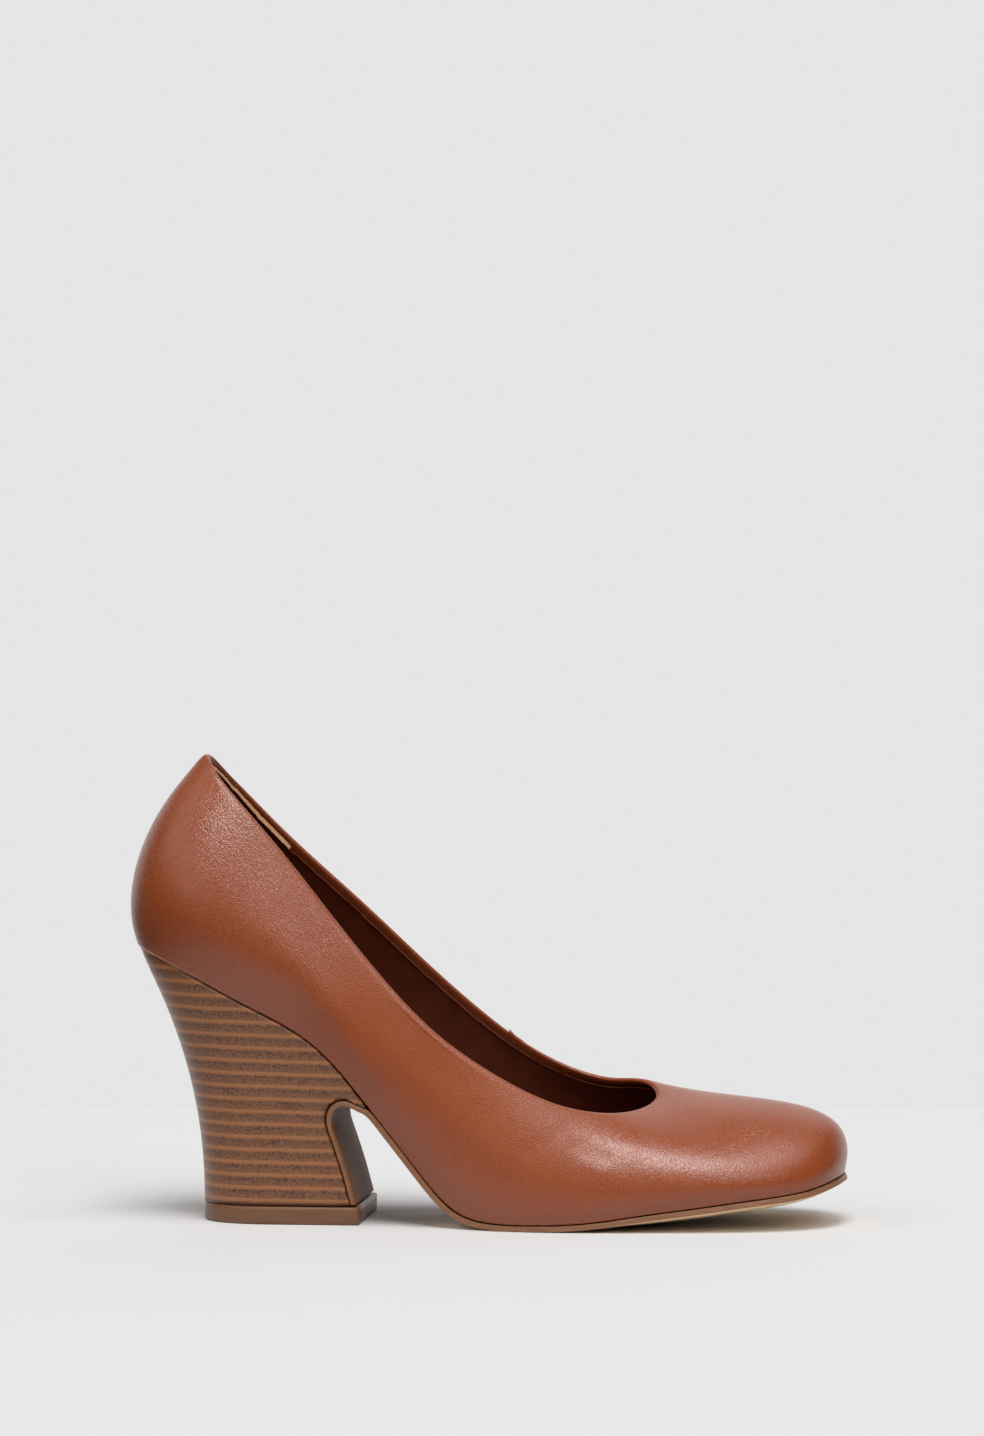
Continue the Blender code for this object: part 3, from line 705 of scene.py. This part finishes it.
# From the back to its ends the grip falls away from the collar: in front of each x (mm) its rim drops
# a bit (mm).
for front_of, drop in GRIP_FALL:
    edit(grip, "EDGE")
    pick_rim(grip, COLLAR_INNER)
    rim = {v.index for v in bmesh.from_edit_mesh(grip.data).verts if v.select and v.co.x > front_of * MM}
    bpy.ops.mesh.select_mode(type="VERT")
    bpy.ops.mesh.select_all(action="DESELECT")
    pick(grip, "verts", lambda v: v.index in rim)
    bpy.ops.transform.translate(value=(0, 0, -drop * MM))
    leave()
edit(grip, "FACE")
bpy.ops.mesh.select_all(action="SELECT")
bpy.ops.mesh.bisect(plane_co=GRIP_SEAM - GRIP_GAP * GRIP_NORMAL, plane_no=GRIP_NORMAL, clear_outer=True)
leave()
grip.data.materials.append(lining_leather)
grip.data.materials.append(suede)
raw_edge(grip, GRIP_WAVER, GRIP_SEED, GRIP_THICK)
# At the upright seams the cut is turned in, so the ends show the dyed side.
edit(grip, "FACE")
pick(grip, "faces", lambda face: face.normal.x > 0.8 and face.normal.z < 0.3)
grip.active_material_index = 0
bpy.ops.object.material_slot_assign()
leave()
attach(grip, "root")

# %% [markdown]
# ## The sock
# The foot rests on a thin sock of lining leather glued to the insole. Its solid is refined with its
# rims creased, so that it stays a flat sheet with a slightly rounded edge.

# %% Sock
RIM_CREASE = 0.75


def crease_rims(piece, amount):
    """Crease every sharp edge of a piece, so that refining only rounds it a little."""
    edit(piece, "EDGE")
    pick(piece, "edges", lambda edge: not edge.smooth)
    bpy.ops.transform.edge_crease(value=amount)
    leave()


def soften(piece):
    """Shade a refined piece smooth, with breaks only where it really turns sharply."""
    edit(piece, "EDGE")
    bpy.ops.mesh.select_all(action="SELECT")
    bpy.ops.mesh.mark_sharp(clear=True)
    leave()
    bpy.ops.object.shade_smooth_by_angle(angle=math.radians(40))
    print(piece.name, len(piece.data.polygons), "faces")


sock = copy_of("insole", "sock")
crease_rims(sock, RIM_CREASE)
refine(sock, 2)
soften(sock)
sock.data.materials.append(lining_leather)
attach(sock, "root")
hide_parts("insole")

# %% [markdown]
# ## The sole
# One strip of board runs from the toe to the waist, turns over the notch and comes down the breast of
# the heel. Its edge is dyed and burnished, its tread is buffed pale, and the waist and breast are
# painted dark. The strip's solid is refined, and its lower face is picked and given the second finish.

# %% Sole: finishes
# Burnished board edge: an even warm brown with thin darker strokes along it and a waxy half gloss.
sole_edge, tree, shader, place = new_material("burnished_board_edge")
STROKE = (9 * MM, 9 * MM, 0.5 * MM)
strokes = add_node(tree, "Mapping", {"Vector": place, "Scale": STROKE}, vector_type="TEXTURE")
streak = add_node(tree, "TexNoise", {"Vector": strokes.outputs[0], "Scale": 1.0, "Detail": 3.0})
tone = add_node(tree, "ValToRGB", {"Fac": streak.outputs["Fac"]}, stops=[
    (0.30, linear("#835639")), (0.70, linear("#9a6b4a"))])
tree.links.new(tone.outputs["Color"], shader.inputs["Base Color"])
shader.inputs["Roughness"].default_value = 0.45

# Buffed tread and painted waist: the pale board shows under the forefoot, and dark paint covers the waist
# and the breast.
TREAD_BACK = -14 * MM        # where the paint of the waist ends
PAINT_EDGE = 0.3 * MM        # half the width of the paint's soft border
sole_under, tree, shader, place = new_material("buffed_tread_and_painted_waist")
across = add_node(tree, "SeparateXYZ", {0: place})
buffed = add_node(tree, "TexNoise", {"Vector": place, "Scale": per_mm(1.2), "Detail": 4.0})
pale = add_node(tree, "ValToRGB", {"Fac": buffed.outputs["Fac"]}, stops=[
    (0.30, linear("#efcaa3")), (0.70, linear("#fce0be"))])
paint = add_node(tree, "ValToRGB", {"Fac": buffed.outputs["Fac"]}, stops=[
    (0.30, linear("#795539")), (0.70, linear("#896244"))])
border = add_node(tree, "MapRange", {
    "Value": across.outputs["X"], "From Min": TREAD_BACK - PAINT_EDGE, "From Max": TREAD_BACK + PAINT_EDGE})
under = add_node(tree, "Mix", {0: border.outputs[0], 6: paint.outputs["Color"], 7: pale.outputs["Color"]},
                 data_type="RGBA")
tree.links.new(under.outputs[2], shader.inputs["Base Color"])
shader.inputs["Roughness"].default_value = 0.6
shader.inputs["Specular IOR Level"].default_value = 0.12
print("sole finishes:", sole_edge.name, "and", sole_under.name)

# %% Sole: shape
SOLE_CREASE = 0.9
TREAD = Vector((29, 0, 0)) * MM

sole = copy_of("outsole", "sole_strip")
crease_rims(sole, SOLE_CREASE)
sole.data.materials.append(sole_edge)
sole.data.materials.append(sole_under)
edit(sole, "FACE")
pick_side(sole, TREAD, Vector((0, 0, -1)))
sole.active_material_index = 1
bpy.ops.object.material_slot_assign()
leave()
refine(sole, 2)
soften(sole)
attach(sole, "root")
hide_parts("outsole")

# %% [markdown]
# ## The heel block
# A moulded core is wrapped in a printed sheet that looks like a stack of leather layers. The block
# keeps its solid's form. Its foot, front and seat swell a little, so that they all but close on the
# lift, the strip and the upper, the seat's rim is tucked in under the upper, and the edges are
# softened. The stripes are drawn by height, so they run round the heel as the layers of a real stack
# would, and they lean a little with the seat near the top.

# %% Heel block: shape
WRAP_THICK = 0.2 * MM        # swell of the foot and the front
SEAT_THICK = 0.5 * MM        # swell of the seat
SEAT_TUCK = (0.984, 0.986, 1)
SEAT_REACH = 9 * MM          # how far down the block the tuck is felt
HEEL_FOOT = Vector((-75, 0, 5)) * MM
HEEL_FRONT = Vector((-52, 0, 30)) * MM
HEEL_SEAT = Vector((-80, 0, 80)) * MM
heel = copy_of("heel_block", "heel_wrap")
edit(heel, "FACE")
for side, facing, swell in ((HEEL_FOOT, Vector((0, 0, -1)), WRAP_THICK),
                            (HEEL_FRONT, Vector((1, 0, 0)), WRAP_THICK),
                            (HEEL_SEAT, Vector((0.4, 0, 0.9)), SEAT_THICK)):
    pick_side(heel, side, facing)
    bpy.ops.transform.shrink_fatten(value=swell)
bpy.ops.transform.resize(value=SEAT_TUCK, center_override=HEEL_SEAT, use_proportional_edit=True,
                         proportional_edit_falloff="SMOOTH", proportional_size=SEAT_REACH)
leave()
crease_rims(heel, SOLE_CREASE)
refine(heel, 2)
soften(heel)

# %% Heel block: printed stack
# Printed wrap with a satin finish: thin ochre lines, and between them a dark speckled band that is
# darkest right under each line.
LAYER = 3.95                 # mm from one line of the stack to the next
LAYER_LEAN = math.tan(math.radians(2.0)) / (80 * MM)
LAYER_WAVER = 0.12           # share of a layer that the lines waver by
HEEL_MIDDLE = -75 * MM
SPECK = 0.6                  # mm across one speck of the print
heel_wrap, tree, shader, place = new_material("printed_stack_wrap")
xyz = add_node(tree, "SeparateXYZ", {0: place})
waver = add_node(tree, "TexNoise", {"Vector": place, "Scale": per_mm(14.0), "Detail": 2.0})
lean = add_node(tree, "MapRange", {
    "Value": xyz.outputs["X"], "From Min": HEEL_MIDDLE, "From Max": HEEL_MIDDLE + 1.0,
    "To Min": 1.0, "To Max": 1.0 + LAYER_LEAN}, clamp=False)
height = add_node(tree, "Math", {0: xyz.outputs["Z"], 1: lean.outputs[0]}, operation="MULTIPLY")
layers = add_node(tree, "Math", {0: height.outputs[0], 1: -per_mm(LAYER)}, operation="MULTIPLY")
bent = add_node(tree, "Math", {0: waver.outputs["Fac"], 1: LAYER_WAVER, 2: layers.outputs[0]},
                operation="MULTIPLY_ADD")
down = add_node(tree, "Math", {0: bent.outputs[0]}, operation="FRACT")
band = add_node(tree, "ValToRGB", {"Fac": down.outputs[0]}, stops=[
    (0.00, linear("#8a5c3c")), (0.07, linear("#a96d41")), (0.26, linear("#9e663d")),
    (0.42, linear("#7a5036")), (0.95, linear("#885a3b"))])
darkness = add_node(tree, "ValToRGB", {"Fac": down.outputs[0]}, stops=[
    (0.00, (0.3, 0.3, 0.3, 1)), (0.07, (0, 0, 0, 1)), (0.26, (0.1, 0.1, 0.1, 1)),
    (0.42, (1, 1, 1, 1)), (0.95, (0.5, 0.5, 0.5, 1))])
speck = add_node(tree, "TexNoise", {
    "Vector": place, "Scale": per_mm(SPECK), "Detail": 2.0, "Roughness": 0.6})
dots = add_node(tree, "MapRange", {"Value": speck.outputs["Fac"], "From Min": 0.47, "From Max": 0.60})
shade = add_node(tree, "Math", {0: dots.outputs[0], 1: darkness.outputs["Color"]}, operation="MULTIPLY")
stack = add_node(tree, "Mix", {0: shade.outputs[0], 6: band.outputs["Color"], 7: linear("#442921")},
                 data_type="RGBA")
tree.links.new(stack.outputs[2], shader.inputs["Base Color"])
shader.inputs["Roughness"].default_value = 0.34
heel.data.materials.append(heel_wrap)
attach(heel, "root")
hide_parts("heel_block")
print(heel_wrap.name, len(tree.nodes), "nodes")

# %% [markdown]
# ## The top lift
# The wear piece under the heel is a moulded slab of dense rubber, trimmed flush after it was nailed on,
# so its side has fine scratches round it and its edges are just broken. The broken edges are too blunt
# for the sharp marks, so here every edge that turns more than a third of a right angle is creased.

# %% Top lift
BROKEN_EDGE = math.radians(30)
lift = copy_of("top_lift", "top_lift_rubber")
edit(lift, "EDGE")
bpy.ops.mesh.edges_select_sharp(sharpness=BROKEN_EDGE)
bpy.ops.transform.edge_crease(value=1.0)
leave()
refine(lift, 2)
soften(lift)

# Dense rubber, ground after fitting: dull brown with fine scratches running round it.
lift_rubber, tree, shader, place = new_material("ground_lift_rubber")
SCRATCH = (12 * MM, 12 * MM, 0.35 * MM)
rings = add_node(tree, "Mapping", {"Vector": place, "Scale": SCRATCH}, vector_type="TEXTURE")
scratch = add_node(tree, "TexNoise", {"Vector": rings.outputs[0], "Scale": 1.0, "Detail": 3.0})
tone = add_node(tree, "ValToRGB", {"Fac": scratch.outputs["Fac"]}, stops=[
    (0.30, linear("#704a31")), (0.70, linear("#80583d"))])
rough = add_node(tree, "MapRange", {"Value": scratch.outputs["Fac"], "To Min": 0.3, "To Max": 0.5})
tree.links.new(tone.outputs["Color"], shader.inputs["Base Color"])
tree.links.new(rough.outputs[0], shader.inputs["Roughness"])
lift.data.materials.append(lift_rubber)
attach(lift, "root")
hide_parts("top_lift")
